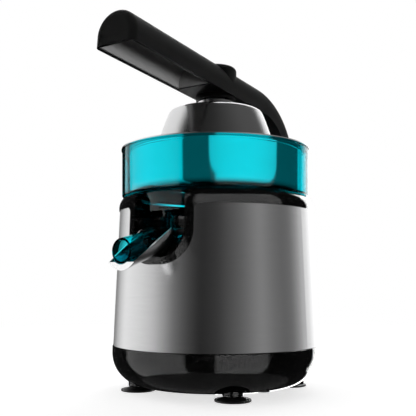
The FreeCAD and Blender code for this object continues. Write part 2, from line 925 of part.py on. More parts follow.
def gearbox_cover():
    body = new_body("gearbox_cover")
    flange = circle(new_sketch(body, "flange", "XY", lift=PLATE_TOP), (0, s.plate_centre), s.plate_radius)
    extrude(body, flange, s.plate_gauge)
    cup = circle(new_sketch(body, "cup", "XY", lift=PLATE_TOP), (0, s.plate_centre), s.cover_radius)
    extrude(body, cup, s.cover_roof - PLATE_TOP)
    space = circle(new_sketch(body, "space", "XY", lift=PLATE_TOP), (0, s.plate_centre),
                   s.cover_radius - s.cover_wall)
    extrude(body, space, s.cover_roof - s.cover_wall - PLATE_TOP, cut=True)
    bores = new_sketch(body, "bores", "XY", lift=PLATE_TOP)
    circle(bores, (0, 0), s.hub_radius + s.run_gap)
    circle(bores, (0, IDLER_Y), s.axle_radius)
    for degrees in COVER_ANGLES:
        circle(bores, cover_place(degrees), s.cover_screw + s.run_gap)
    extrude(body, bores, cut=True)
    keep(body)


def gearbox_screws():
    """The screws of the gearbox: into the columns, into the motor and through the flange."""
    plate_top = PLATE_TOP.value
    flange_top = plate_top + s.plate_gauge.value
    head = (s.screw_head.value, s.screw_head_height.value)
    into_flange = [cover_place(degrees) for degrees in COVER_ANGLES]
    for label, places, top, shank, length in (
        ("plate_screws", COLUMN_PLACES, plate_top, s.plate_screw, 11.0),
        ("motor_screws", MOTOR_SCREWS, plate_top, s.cover_screw, 6.0),
        ("cover_screws", into_flange, flange_top, s.cover_screw, 9.0),
    ):
        group = [screw(Vector(x.value, y.value, top), shank.value, length, *head) for x, y in places]
        fixed_shape(label, Part.makeCompound(group))


def motor():
    can = new_body("motor_can")
    inside = s.motor_radius - s.motor_wall
    head = s.plate_under - s.motor_head
    outline = draw(new_sketch(can, "outline", "XZ"), (inside, s.motor_foot), [
        (s.motor_radius, s.motor_foot),
        (s.motor_radius, s.plate_under),
        (s.motor_boss, s.plate_under),
        (s.motor_boss, head),
        (inside, head),
    ])
    turn(can, outline)
    taps = new_sketch(can, "taps", "XY", lift=head)
    for side in (1, -1):
        circle(taps, (s.motor_screw_side * side, 0), s.cover_screw + s.run_gap)
    extrude(can, taps, cut=True)
    keep(can)
    cap_under = s.motor_foot - s.motor_wall
    spigot = inside - s.run_gap
    cap = ring_piece("motor_cap", (s.motor_shaft + s.run_gap, cap_under), [
        (s.motor_radius, cap_under),
        (s.motor_radius, s.motor_foot),
        (spigot, s.motor_foot),
        (spigot, s.motor_foot + s.motor_wall),
        (spigot - s.motor_wall, s.motor_foot + s.motor_wall),
        (spigot - s.motor_wall, s.motor_foot),
        (s.motor_boss, s.motor_foot),
        (s.motor_boss, s.motor_foot + s.motor_boss),
        (s.motor_shaft + s.run_gap, s.motor_foot + s.motor_boss),
    ])
    bore = s.rotor_radius + s.rotor_gap
    stator = ring_piece("motor_stator", (bore, s.core_start), [
        (inside, s.core_start),
        (inside, s.core_end),
        (bore, s.core_end),
    ])
    shaft_top = s.first_stage + s.first_width
    rotor = ring_piece("motor_rotor", (0, cap_under - s.motor_wall), [
        (s.motor_shaft, cap_under - s.motor_wall),
        (s.motor_shaft, s.core_start),
        (s.rotor_radius, s.core_start),
        (s.rotor_radius, s.core_end),
        (s.motor_shaft, s.core_end),
        (s.motor_shaft, shaft_top),
        (0, shaft_top),
    ])
    for piece in (can, cap, stator, rotor):
        bind(piece, "Placement.Base.y", MOTOR_Y)
    teeth = gear_disc(s.pinion_teeth, s.first_module, MOTOR_Y, s.first_stage, s.first_width,
                      phase=math.pi / 2)
    hole = post(s.motor_shaft, MOTOR_Y, s.first_stage - PAST, shaft_top + PAST)
    fixed_shape("motor_pinion", teeth.cut(hole))


def gears():
    half_step = math.pi / int(s.idler_teeth.value)
    wheel = gear_disc(s.idler_teeth, s.first_module, IDLER_Y, s.first_stage, s.first_width,
                      phase=-math.pi / 2 + half_step)
    small = gear_disc(s.pinion_teeth, s.second_module, IDLER_Y, s.second_stage, s.second_width,
                      phase=-math.pi / 2)
    neck = post(s.idler_neck, IDLER_Y, s.first_stage + s.first_width - ROOT, s.second_stage + ROOT)
    idler_top = s.second_stage + s.second_width
    bore = post(s.axle_radius + s.run_gap, IDLER_Y, s.first_stage - PAST, idler_top + PAST)
    fixed_shape("idler_gear", wheel.fuse([small, neck]).cut(bore).removeSplitter())
    rod("idler_axle", s.axle_radius, s.cover_roof - s.plate_under, (0, IDLER_Y, s.plate_under))

    half_step = math.pi / int(s.output_teeth.value)
    side_gap = ROOT / 2
    rim_foot = s.second_stage + side_gap
    rim = gear_disc(s.output_teeth, s.second_module, 0, rim_foot, s.second_width - side_gap * 2,
                    phase=math.pi / 2 + half_step)
    hub = post(s.hub_radius, 0, rim_foot, s.hub_top)
    flats = s.hex_flat.value + 2 * s.run_gap.value
    socket = hexagon(flats, s.second_stage.value - PAST, s.hub_top.value + PAST)
    fixed_shape("output_gear", rim.fuse(hub).cut(socket).removeSplitter())
    ring_piece("retaining_ring", (s.hub_radius, s.cover_roof + s.run_gap), [
        (s.hub_radius + s.ring_width, s.cover_roof + s.run_gap),
        (s.hub_radius + s.ring_width, s.cover_roof + s.ring_gauge),
        (s.hub_radius, s.cover_roof + s.ring_gauge),
    ])


def hexagon(across_flats, foot, top):
    """A six-sided bar on the drive axis."""
    reach = across_flats / math.sqrt(3)
    corners = [Vector(reach * math.cos(math.radians(60 * k)), reach * math.sin(math.radians(60 * k)), foot)
               for k in range(7)]
    return Part.Face(Part.makePolygon(corners)).extrude(Vector(0, 0, top - foot))


def drive_spindle():
    """The output shaft: it turns with the output gear and slides down when the fruit is pressed."""
    lower = hexagon(s.hex_flat.value, s.spindle_foot.value, s.flange_under.value)
    flange = post(s.flange_radius, 0, s.flange_under, s.flange_under + s.flange_gauge)
    shaft = post(s.spindle_radius, 0, s.flange_under, s.chimney_top + ROOT * 2)
    drive = hexagon(s.hex_flat.value, s.chimney_top.value, s.spindle_top.value)
    fixed_shape("drive_spindle", lower.fuse([flange, shaft, drive]).removeSplitter())


def spindle_spring():
    """The return spring between the gear hub and the spindle flange."""
    body = new_body("spindle_spring")
    foot = s.hub_top + s.spring_wire + s.run_gap
    section = circle(new_sketch(body, "section", "XZ"), (s.spring_mean, foot), s.spring_wire)
    coil = body.newObject("PartDesign::AdditiveHelix", "spring_coil")
    coil.Profile = section
    coil.ReferenceAxis = (section, ["V_Axis"])
    coil.Mode = "height-turns-growth"
    height = s.flange_under - s.hub_top - s.spring_wire * 2 - s.run_gap * 2
    coil.Height = height.value
    bind(coil, "Height", height)
    coil.Turns = s.spring_turns.value
    bind(coil, "Turns", s.spring_turns)
    doc.recompute()
    keep(body)


def spindle_bearing():
    bore = s.spindle_radius + s.run_gap
    outside = s.spindle_radius + s.bush_wall
    bush_top = s.tower_top - s.seal_height
    ring_piece("spindle_bush", (bore, s.deck_under), [
        (outside, s.deck_under),
        (outside, bush_top),
        (bore, bush_top),
    ])
    ring_piece("spindle_seal", (bore, bush_top), [
        (outside, bush_top),
        (outside, s.tower_top),
        (bore, s.tower_top + s.seal_lip),
    ])


def start_switch():
    """A small plunger switch that the spindle flange pushes down."""
    body = new_body("switch_body")
    low = s.hub_top + ROOT
    high = s.flange_under - s.press_travel - ROOT / 2
    half = s.switch_half
    block = draw(new_sketch(body, "block", "XY", lift=low), (s.switch_inner, -half), [
        (s.switch_outer, -half), (s.switch_outer, half), (s.switch_inner, half)])
    extrude(body, block, high - low)
    post_foot = draw(new_sketch(body, "post", "XY", lift=s.cover_roof), (s.switch_post, -half), [
        (s.switch_outer, -half), (s.switch_outer, half), (s.switch_post, half)])
    extrude(body, post_foot, low - s.cover_roof + ROOT)
    well = low + s.button_radius
    bore = s.button_radius + s.run_gap
    guide = circle(new_sketch(body, "guide", "XY", lift=well), (s.switch_side, 0), bore)
    extrude(body, guide, cut=True)
    keep(body)
    stem_foot = well + s.run_gap + s.press_travel
    stem_top = s.flange_under - s.run_gap
    rod("switch_button", s.button_radius, stem_top - stem_foot, (s.switch_side, 0, stem_foot))


# Bowl, strainer and reamer

def juice_bowl():
    body = new_body("juice_bowl")
    floor = s.neck_under + s.neck_floor
    rest = s.collar_top + s.run_gap
    shelf = rest + s.neck_floor
    spigot = s.chimney_radius - s.chimney_ledge
    inner_foot = s.bowl_foot - s.bowl_wall
    inner_rim = s.bowl_rim - s.bowl_wall
    outline = draw(new_sketch(body, "outline", "XZ"), (s.chimney_bore, s.neck_under), [
        (s.neck_radius, s.neck_under),
        (s.neck_radius, rest),
        (s.bowl_foot - s.bowl_corner, rest),
        (s.bowl_foot, rest + s.bowl_corner, s.bowl_corner),
        (s.bowl_rim, s.bowl_top - s.bowl_lip_height),
        (s.bowl_rim + s.bowl_lip, s.bowl_top - s.bowl_lip_height + s.bowl_lip),
        (s.bowl_rim + s.bowl_lip, s.bowl_top),
        (inner_rim, s.bowl_top),
        (inner_foot, shelf),
        (s.neck_radius - s.bowl_wall, shelf),
        (s.neck_radius - s.bowl_wall, floor),
        (s.chimney_radius, floor),
        (s.chimney_radius, s.chimney_step),
        (spigot, s.chimney_step),
        (spigot, s.chimney_top),
        (s.chimney_bore, s.chimney_top),
    ])
    turn(body, outline)
    pipe = circle(new_sketch(body, "drain", "XY", lift=s.drain_end), (0, -s.drain_offset), s.drain_radius)
    extrude(body, pipe, floor - s.drain_end)
    bore = circle(new_sketch(body, "drain_bore", "XY", lift=s.drain_end), (0, -s.drain_offset), s.drain_bore)
    extrude(body, bore, floor - s.drain_end + PAST, cut=True)
    keep(body)


def strainer():
    body = new_body("strainer")
    gauge = s.drum_gauge
    corner = s.drum_floor + s.drum_round
    hub = s.chimney_radius - s.chimney_ledge + s.run_gap
    flat = hub + s.hub_flat
    slope = flat + s.hub_slope
    outline = draw(new_sketch(body, "outline", "XZ"), (hub, s.chimney_step + s.run_gap), [
        (flat, s.chimney_step + s.run_gap),
        (slope, s.drum_floor),
        (s.drum_foot - s.drum_round, s.drum_floor),
        (s.drum_foot, corner, s.drum_round),
        (s.drum_head, s.drum_top - gauge),
        (s.drum_rim, s.drum_top - gauge),
        (s.drum_rim, s.drum_top),
        (s.drum_head - gauge, s.drum_top),
        (s.drum_foot - gauge, corner),
        (s.drum_foot - s.drum_round, s.drum_floor + gauge, gauge - s.drum_round),
        (slope + gauge / 2, s.drum_floor + gauge),
        (flat + gauge / 2, s.chimney_step + gauge),
        (hub, s.chimney_step + gauge),
    ])
    turn(body, outline)
    slots = new_sketch(body, "slots", "XY", lift=s.drum_floor - ROOT)
    half = s.slot_width / 2
    for first, last in ((s.inner_slot_start, s.inner_slot_end), (s.outer_slot_start, s.outer_slot_end)):
        draw(slots, (first, -half), [(last, -half), (last, half), (first, half)])
    spread(body, [extrude(body, slots, gauge + ROOT * 2, cut=True)], s.slot_rows)
    keep(body)


def reamer():
    """The ribbed cone that turns under the fruit."""
    body = new_body("reamer")
    foot = s.reamer_foot
    socket_foot = s.chimney_top + s.press_travel + ROOT
    brim = foot + s.reamer_brim
    shoulder = brim + s.reamer_brim
    tip = s.cone_top - s.cone_tip_drop
    core = draw(new_sketch(body, "core", "XZ"), (0, socket_foot), [
        (s.reamer_stem, socket_foot),
        (s.reamer_stem, foot),
        (s.reamer_radius, foot),
        (s.reamer_radius, brim),
        (s.cone_radius, shoulder),
        (s.cone_tip, tip, s.cone_curve),
        (s.cone_flat, s.cone_top, s.cone_tip),
        (0, s.cone_top),
    ])
    turn(body, core)
    reach = s.cone_radius + s.rib_proud
    fin = draw(new_sketch(body, "rib", "XZ"), (s.cone_tip - ROOT, brim + ROOT), [
        (reach, brim + ROOT),
        (reach, shoulder + ROOT),
        (s.cone_tip + ROOT / 2, tip + ROOT, s.rib_curve),
        (s.cone_tip - ROOT, tip - ROOT / 2),
    ])
    spread(body, [extrude(body, fin, s.rib_width, both=True)], s.rib_count)
    keep(body)
    return body


def reamer_socket(body):
    """The six-sided hole that drops over the top of the spindle."""
    reach = (s.hex_flat + s.run_gap * 2) / math.sqrt(3)
    angles = [math.radians(60 * k) for k in range(6)]
    corners = [(reach * math.cos(angle), reach * math.sin(angle)) for angle in angles]
    hole = draw(new_sketch(body, "socket", "XY", lift=s.chimney_top), corners[0], corners[1:])
    extrude(body, hole, s.spindle_top + 0.5 - s.chimney_top, cut=True)


# Spout

SLOPE = math.radians(SIZES["nozzle_slope"])
PIN_START = 0.25


def spout_nozzle():
    """The clear pipe of the spout, open on top where the bowl drains into it."""
    body = new_body("spout_nozzle")
    frame = {
        "lift": s.nozzle_reach + PAST * math.cos(SLOPE),
        "rise": s.nozzle_height - PAST * math.sin(SLOPE),
        "tilt": s.nozzle_slope.value,
    }
    solid = circle(new_sketch(body, "barrel", "XZ", **frame), (0, 0), s.nozzle_radius)
    extrude(body, solid, s.nozzle_length + PAST, flip=True)
    ears = circle(new_sketch(body, "ears", "YZ"), (-s.spout_axis_y, s.spout_axis_z), s.ear_radius)
    extrude(body, ears, s.ear_half * 2, both=True)
    keel = draw(new_sketch(body, "keel", "YZ"), (-s.keel_front, scoop_floor(s.keel_front)), [
        (-s.keel_back, scoop_floor(s.keel_back)),
        (-s.keel_back, s.nozzle_height + PAST),
        (-s.keel_front, s.nozzle_height - ROOT * 3),
    ])
    extrude(body, keel, s.keel_width, both=True)
    bore = circle(new_sketch(body, "bore", "XZ", **frame), (0, 0), s.nozzle_radius - s.nozzle_wall)
    extrude(body, bore, cut=True, flip=True)
    front = s.nozzle_reach + s.nozzle_radius
    over = s.nozzle_height + s.nozzle_radius * 2
    under = s.nozzle_height - s.nozzle_radius * 2
    mouth = draw(new_sketch(body, "mouth", "YZ"), (-s.nozzle_reach, under), [
        (-s.nozzle_reach, over), (-front, over), (-front, under)])
    extrude(body, mouth, s.nozzle_radius * 4, cut=True, both=True)
    above = s.inlet_high + s.nozzle_radius
    inlet = draw(new_sketch(body, "inlet", "YZ"), (-s.inlet_front, s.inlet_low), [
        (-s.inlet_back, s.inlet_high), (-s.inlet_back, above), (-s.inlet_front, above)])
    extrude(body, inlet, (s.nozzle_radius + PIN_START) * 2, cut=True, both=True)
    pivots = circle(new_sketch(body, "pivots", "YZ"), (-s.spout_axis_y, s.spout_axis_z), s.trunnion_radius)
    extrude(body, pivots, (s.ear_half + PAST) * 2, cut=True, both=True)
    keep(body)
    pin_length = s.mouth_half + s.bay_wall - s.nozzle_radius - PIN_START * 2
    pins = []
    for side in (1, -1):
        start = side * (s.nozzle_radius.value + PIN_START)
        stand = Vector(start, -s.spout_axis_y.value, s.spout_axis_z.value)
        pins.append(Part.makeCylinder(s.trunnion_radius.value, pin_length.value, stand, Vector(side, 0, 0)))
    fixed_shape("spout_pins", Part.makeCompound(pins))


def scoop_floor(reach):
    """Height of the keel's foot, just above the scoop's floor, at a distance towards the front."""
    fall = (s.scoop_back_floor - s.scoop_tip_floor) / (s.scoop_reach - s.scoop_back)
    return s.scoop_back_floor + s.scoop_gauge + s.run_gap * 2 - fall * (reach - s.scoop_back)


def arc_radius(half, depth):
    """Radius of an arc from its chord and its depth."""
    return (half * half + depth * depth) / (depth * 2)


def scoop_section(body, name, lift, half, rim, floor, inner_half, inner_floor):
    """A crescent open at the top: the cross-section of the scoop at one end."""
    outer = arc_radius(half, rim - floor)
    inner = arc_radius(inner_half, rim - inner_floor)
    return draw(new_sketch(body, name, "XZ", lift=lift), (-half, rim), [
        (0, floor, outer),
        (half, rim, outer),
        (inner_half, rim),
        (0, inner_floor, -inner),
        (-inner_half, rim, -inner),
    ])


def spout_scoop():
    """The polished steel lip under the nozzle."""
    body = new_body("spout_scoop")
    gauge = s.scoop_gauge
    back = scoop_section(body, "back", s.scoop_back, s.scoop_back_half, s.scoop_back_rim, s.scoop_back_floor,
                         s.scoop_back_half - gauge, s.scoop_back_floor + gauge)
    front = (s.scoop_reach, s.scoop_tip_half, s.scoop_tip_rim, s.scoop_tip_floor)
    tip = scoop_section(body, "tip", *front, s.scoop_tip_half - gauge, s.scoop_tip_floor + gauge)
    loft = body.newObject("PartDesign::AdditiveLoft", "scoop_loft")
    loft.Profile = back
    loft.Sections = [tip]
    loft.Ruled = True
    doc.recompute()
    lip = scoop_section(body, "lip", *front, s.lip_half, s.lip_floor)
    extrude(body, lip, gauge, flip=True)
    keep(body)


# Lever arm and hinge

TILT = math.radians(SIZES["arm_tilt"])


def arm_section(sketch, half, side, floor=0.0):
    """The D of the arm: a flat side below, straight sides, and a round back."""
    return draw(sketch, (-half, floor), [
        (half, floor),
        (half, side),
        (0, side + half, half),
        (-half, side, half),
    ])


def across_arm(edge, reach, floor):
    """Whether an edge lies in the plane across the arm at this reach, above the arm's floor there."""
    stand = Vector(0, -reach, s.arm_height.value + reach * math.tan(TILT))
    out = Vector(0, -math.cos(TILT), math.sin(TILT))
    in_plane = all(abs((vertex.Point - stand).dot(out)) < 0.01 for vertex in edge.Vertexes)
    return in_plane and edge.CenterOfMass.z > stand.z + floor


def lever_arm():
    body = new_body("lever_arm")
    half = s.arm_width / 2
    tip = -s.arm_reach
    tip_height = s.arm_height + s.arm_reach * math.tan(TILT)
    bend = s.bend_start
    bend_height = s.arm_height - bend * math.tan(TILT)
    centre_y = bend - s.bend_radius * math.sin(TILT)
    centre_z = bend_height - s.bend_radius * math.cos(TILT)
    leg_y = centre_y + s.bend_radius
    leg_foot = s.hinge_z + s.shoulder_rise
    section = new_sketch(body, "section", "XZ", lift=s.arm_reach, rise=tip_height, tilt=-s.arm_tilt.value)
    arm_section(section, half, s.arm_side)
    route = draw(new_sketch(body, "route", "YZ"), (tip, tip_height), [
        (bend, bend_height),
        (leg_y, centre_z, -s.bend_radius),
        (leg_y, leg_foot),
    ], closed=False)
    sweep = body.newObject("PartDesign::AdditivePipe", "arm_sweep")
    sweep.Profile = section
    sweep.Spine = (route, ["Edge1", "Edge2", "Edge3"])
    sweep.Mode = "Standard"
    doc.recompute()
    soften(body, lambda edge: across_arm(edge, s.arm_reach.value, ROOT), s.tip_round)
    boss = draw(new_sketch(body, "boss", "XZ"), (0, s.boss_under), [
        (s.boss_foot, s.boss_under),
        (s.boss_foot, s.dome_axis),
        (s.boss_radius, s.dome_axis),
        (s.boss_radius, s.boss_top - s.boss_round),
        (s.boss_radius - s.boss_round, s.boss_top, s.boss_round),
        (0, s.boss_top),
    ])
    turn(body, boss)
    knuckle = draw(new_sketch(body, "knuckle", "YZ"), (s.hinge_y - s.knuckle_radius, leg_foot + PAST), [
        (s.hinge_y - s.knuckle_radius, s.hinge_z),
        (s.hinge_y, s.hinge_z - s.knuckle_radius, s.knuckle_radius),
        (s.hinge_y + s.knuckle_radius, s.hinge_z, s.knuckle_radius),
        (s.hinge_y + s.knuckle_radius, leg_foot + PAST),
    ])
    extrude(body, knuckle, s.knuckle_half * 2, both=True)
    grip_height = s.arm_height + s.grip_start * math.tan(TILT)
    grip = new_sketch(body, "grip", "XZ", lift=s.grip_start, rise=grip_height, tilt=-s.arm_tilt.value)
    hollow = half - s.arm_wall
    arm_section(grip, hollow, s.grip_roof - hollow, floor=-PAST)
    extrude(body, grip, s.grip_start - s.grip_end, cut=True, flip=True)
    bore = circle(new_sketch(body, "dome_bore", "XY", lift=s.boss_under), (0, 0), s.boss_bore)
    extrude(body, bore, s.boss_roof - s.boss_under, cut=True)
    pin_end = s.arm_width / 2 - s.arm_wall
    cross = circle(new_sketch(body, "pin_hole", "YZ", lift=pin_end), (0, s.dome_axis), s.dome_pin)
    extrude(body, cross, s.arm_width + PAST, cut=True, flip=True)
    hinge = circle(new_sketch(body, "hinge_hole", "YZ"), (s.hinge_y, s.hinge_z), s.hinge_pin + s.run_gap)
    extrude(body, hinge, s.arm_width, cut=True, both=True)
    keep(body)
    return body


def handle_liner():
    """The smooth inset that lines the underside of the grip."""
    body = new_body("handle_liner")
    half = s.arm_width / 2 - s.arm_wall - s.run_gap
    roof = s.grip_roof - s.run_gap
    front = s.grip_start - s.run_gap * 2
    back = s.grip_end + s.run_gap * 2
    block = new_sketch(body, "block", "XZ", lift=front, rise=s.arm_height + front * math.tan(TILT),
                       tilt=-s.arm_tilt.value)
    arm_section(block, half, roof - half, floor=s.liner_inset)
    extrude(body, block, front - back, flip=True)
    hollow_front = front - s.liner_gauge
    space = new_sketch(body, "space", "XZ", lift=hollow_front,
                       rise=s.arm_height + hollow_front * math.tan(TILT), tilt=-s.arm_tilt.value)
    inner = half - s.liner_gauge
    arm_section(space, inner, roof - s.liner_gauge - inner, floor=-PAST)
    extrude(body, space, front - back - s.liner_gauge * 2, cut=True, flip=True)
    keep(body)


def hinge_bracket():
    """The rear bracket: two ears for the arm's pin, and a stop behind them."""
    body = new_body("hinge_bracket")
    top = s.hinge_z + s.ear_outer
    stop = s.hinge_z - s.stop_drop
    head = s.collar_top - PAST
    side = draw(new_sketch(body, "side", "YZ"), (s.bracket_inner, s.bracket_foot), [
        (s.bracket_web, s.bracket_foot),
        (s.stop_reach, stop - s.stop_height, -s.bracket_sweep),
        (s.stop_reach, stop),
        (s.hinge_y + s.ear_outer, stop),
        (s.hinge_y + s.ear_outer, s.hinge_z),
        (s.hinge_y, top, s.ear_outer),
        (s.hinge_y - s.ear_outer, s.hinge_z, s.ear_outer),
        (s.bracket_neck, head),
        (s.bracket_inner, head),
    ])
    extrude(body, side, s.bracket_half * 2, both=True)
    room = s.knuckle_radius + s.knuckle_room
    slot_floor = s.hinge_z - room + ROOT
    slot = draw(new_sketch(body, "slot", "YZ"), (s.hinge_y - room, top + PAST), [
        (s.hinge_y - room, slot_floor),
        (s.hinge_y + room, slot_floor),
        (s.hinge_y + room, top + PAST),
    ])
    extrude(body, slot, (s.knuckle_half + s.ear_gap) * 2, cut=True, both=True)
    low = s.bracket_foot - PAST
    step = s.sleeve_top - ROOT
    collar_side = s.sleeve_head + s.bezel_proud + s.run_gap * 4
    seat = draw(new_sketch(body, "seat", "XZ"), (0, low), [
        (sleeve_radius(low) + s.run_gap, low),
        (sleeve_radius(step) + s.run_gap, step),
        (collar_side, step),
        (collar_side, top + PAST),
        (0, top + PAST),
    ])
    turn(body, seat, cut=True)
    hinge = circle(new_sketch(body, "hinge_hole", "YZ"), (s.hinge_y, s.hinge_z), s.hinge_pin)
    extrude(body, hinge, (s.bracket_half + PAST) * 2, cut=True, both=True)
    taps = new_sketch(body, "taps", "XZ")
    for place in BRACKET_SCREWS:
        circle(taps, place, s.bracket_screw + s.run_gap)
    extrude(body, taps, s.base_radius + PAST, cut=True, flip=True)
    keep(body)
    pin_half = s.bracket_half - ROOT / 2
    rod("hinge_pin", s.hinge_pin, pin_half * 2, (-pin_half, s.hinge_y, s.hinge_z), along_x=True)


def hinge_backplate():
    """The curved plate inside the sleeve that the bracket is bolted to."""
    body = new_body("hinge_backplate")
    low = s.bracket_foot
    high = s.deck_under - ROOT * 2
    inset = s.sleeve_gauge + s.run_gap
    inner = inset + s.backplate_gauge
    shell = draw(new_sketch(body, "shell", "YZ"), (sleeve_radius(low) - inner, low), [
        (sleeve_radius(low) - inset, low),
        (sleeve_radius(high) - inset, high),
        (sleeve_radius(high) - inner, high),
    ])
    turn(body, shell, angle=s.backplate_span.value)
    holes = new_sketch(body, "holes", "XZ")
    for place in BRACKET_SCREWS:
        circle(holes, place, s.bracket_screw + s.run_gap)
    extrude(body, holes, cut=True, flip=True)
    keep(body)
    head = s.bracket_screw_head.value
    screws = []
    for x, z in BRACKET_SCREWS:
        wall = value_of(sleeve_radius(z) - inner)
        face = math.sqrt(wall ** 2 - (abs(x.value) + head) ** 2) - ROOT
        stand = Vector(x.value, face, z.value)
        screws.append(screw(stand, s.bracket_screw.value, s.bracket_screw_length.value,
                            head, s.bracket_screw.value, Vector(0, 1, 0)))
    fixed_shape("bracket_screws", Part.makeCompound(screws))


# Press dome

def press_dome():
    shell = s.dome_gauge
    rim = s.dome_rim
    lip_top = s.dome_under + shell * 2
    hole = s.stem_radius + s.run_gap
    ring_piece("press_dome", (rim - shell, s.dome_under), [
        (s.dome_lip, s.dome_under),
        (s.dome_lip, s.dome_under + shell),
        (rim, lip_top, -s.lip_round),
        (s.shoulder_radius, s.shoulder_height, s.side_curve),
        (s.crown_radius, s.crown_height, s.shoulder_curve),
        (hole, s.dome_top, s.crown_curve),
        (hole, s.dome_top - shell),
        (s.crown_radius - shell * 0.3, s.crown_height - shell, -s.crown_curve),
        (s.shoulder_radius - shell * 0.9, s.shoulder_height - shell * 0.6, shell - s.shoulder_curve),
        (rim - shell, lip_top, shell - s.side_curve),
    ])
    ring_piece("dome_neck", (hole, s.dome_top), [
        (s.neck_ring, s.dome_top),
        (s.neck_ring, s.neck_top),
        (hole, s.neck_top),
    ])
    body = new_body("dome_stem")
    flange_top = s.dome_top - shell - ROOT / 2
    flange_under = flange_top - s.stem_flange_gauge
    outline = draw(new_sketch(body, "outline", "XZ"), (0, flange_under), [
        (s.stem_flange, flange_under),
        (s.stem_flange, flange_top),
        (s.stem_radius, flange_top),
        (s.stem_radius, s.stem_top),
        (0, s.stem_top),
    ])
    turn(body, outline)
    cross = circle(new_sketch(body, "pin_hole", "YZ"), (0, s.dome_axis), s.dome_pin + s.run_gap)
    extrude(body, cross, s.stem_radius * 4, cut=True, both=True)
    keep(body)
    pin_half = s.arm_width / 2 - s.arm_wall - s.run_gap
    rod("dome_pin", s.dome_pin, pin_half * 2, (-pin_half, 0, s.dome_axis), along_x=True)


base_pan()
for foot_number, foot_angle in enumerate(FOOT_ANGLES, start=1):
    suction_foot(foot_number, foot_angle)
steel_sleeve()
top_collar()
spout_bay()
cord_gland()
terminal_block()
tie_rods()
gear_plate()
gearbox_cover()
gearbox_screws()
motor()
gears()
drive_spindle()
spindle_spring()
spindle_bearing()
start_switch()
juice_bowl()
strainer()
reamer_socket(reamer())
spout_nozzle()
spout_scoop()
lever_arm()
handle_liner()
hinge_bracket()
hinge_backplate()
press_dome()

doc.recompute()
for thing in doc.Objects:
    if {"Invalid", "Error"} & set(thing.State):
        raise RuntimeError("%s is left in state %s" % (thing.Name, thing.State))
for piece in pieces:
    if piece.Shape.isNull() or not piece.Shape.isValid():
        raise RuntimeError("%s has no valid shape" % piece.Label)

os.makedirs("parts", exist_ok=True)
for piece in pieces:
    piece.Shape.exportStep("parts/%s.step" % piece.Label)
    box = piece.Shape.BoundBox
    print("%-18s solids %d  volume %9.1f  x %7.1f %7.1f  y %7.1f %7.1f  z %7.1f %7.1f" % (
        piece.Label, len(piece.Shape.Solids), piece.Shape.Volume,
        box.XMin, box.XMax, box.YMin, box.YMax, box.ZMin, box.ZMax))
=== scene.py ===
import json
import math

import bmesh
import bpy
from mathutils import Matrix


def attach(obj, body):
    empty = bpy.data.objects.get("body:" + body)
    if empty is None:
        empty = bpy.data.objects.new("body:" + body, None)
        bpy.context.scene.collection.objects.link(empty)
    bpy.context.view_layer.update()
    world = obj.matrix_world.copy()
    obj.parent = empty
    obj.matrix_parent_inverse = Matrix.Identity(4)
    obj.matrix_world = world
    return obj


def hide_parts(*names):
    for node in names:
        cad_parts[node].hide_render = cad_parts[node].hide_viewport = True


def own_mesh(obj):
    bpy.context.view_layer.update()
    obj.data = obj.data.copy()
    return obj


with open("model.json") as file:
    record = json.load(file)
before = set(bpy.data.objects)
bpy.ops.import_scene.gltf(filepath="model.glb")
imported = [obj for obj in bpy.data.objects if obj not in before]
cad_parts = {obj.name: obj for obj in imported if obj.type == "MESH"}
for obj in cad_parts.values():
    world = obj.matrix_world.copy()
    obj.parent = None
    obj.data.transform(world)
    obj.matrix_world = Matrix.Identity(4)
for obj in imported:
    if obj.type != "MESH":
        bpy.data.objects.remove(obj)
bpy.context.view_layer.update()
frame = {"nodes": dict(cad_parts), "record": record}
nodes = frame["nodes"]

# Sizes are in metres, in the same frame as the CAD: +Z up, front towards -Y, origin on the drive axis.
MM = 0.001
WHITE = (1.0, 1.0, 1.0, 1.0)

# A noise texture stays mostly between these two values.
NOISE_LOW = 0.25
NOISE_HIGH = 0.75


# Node graph helpers

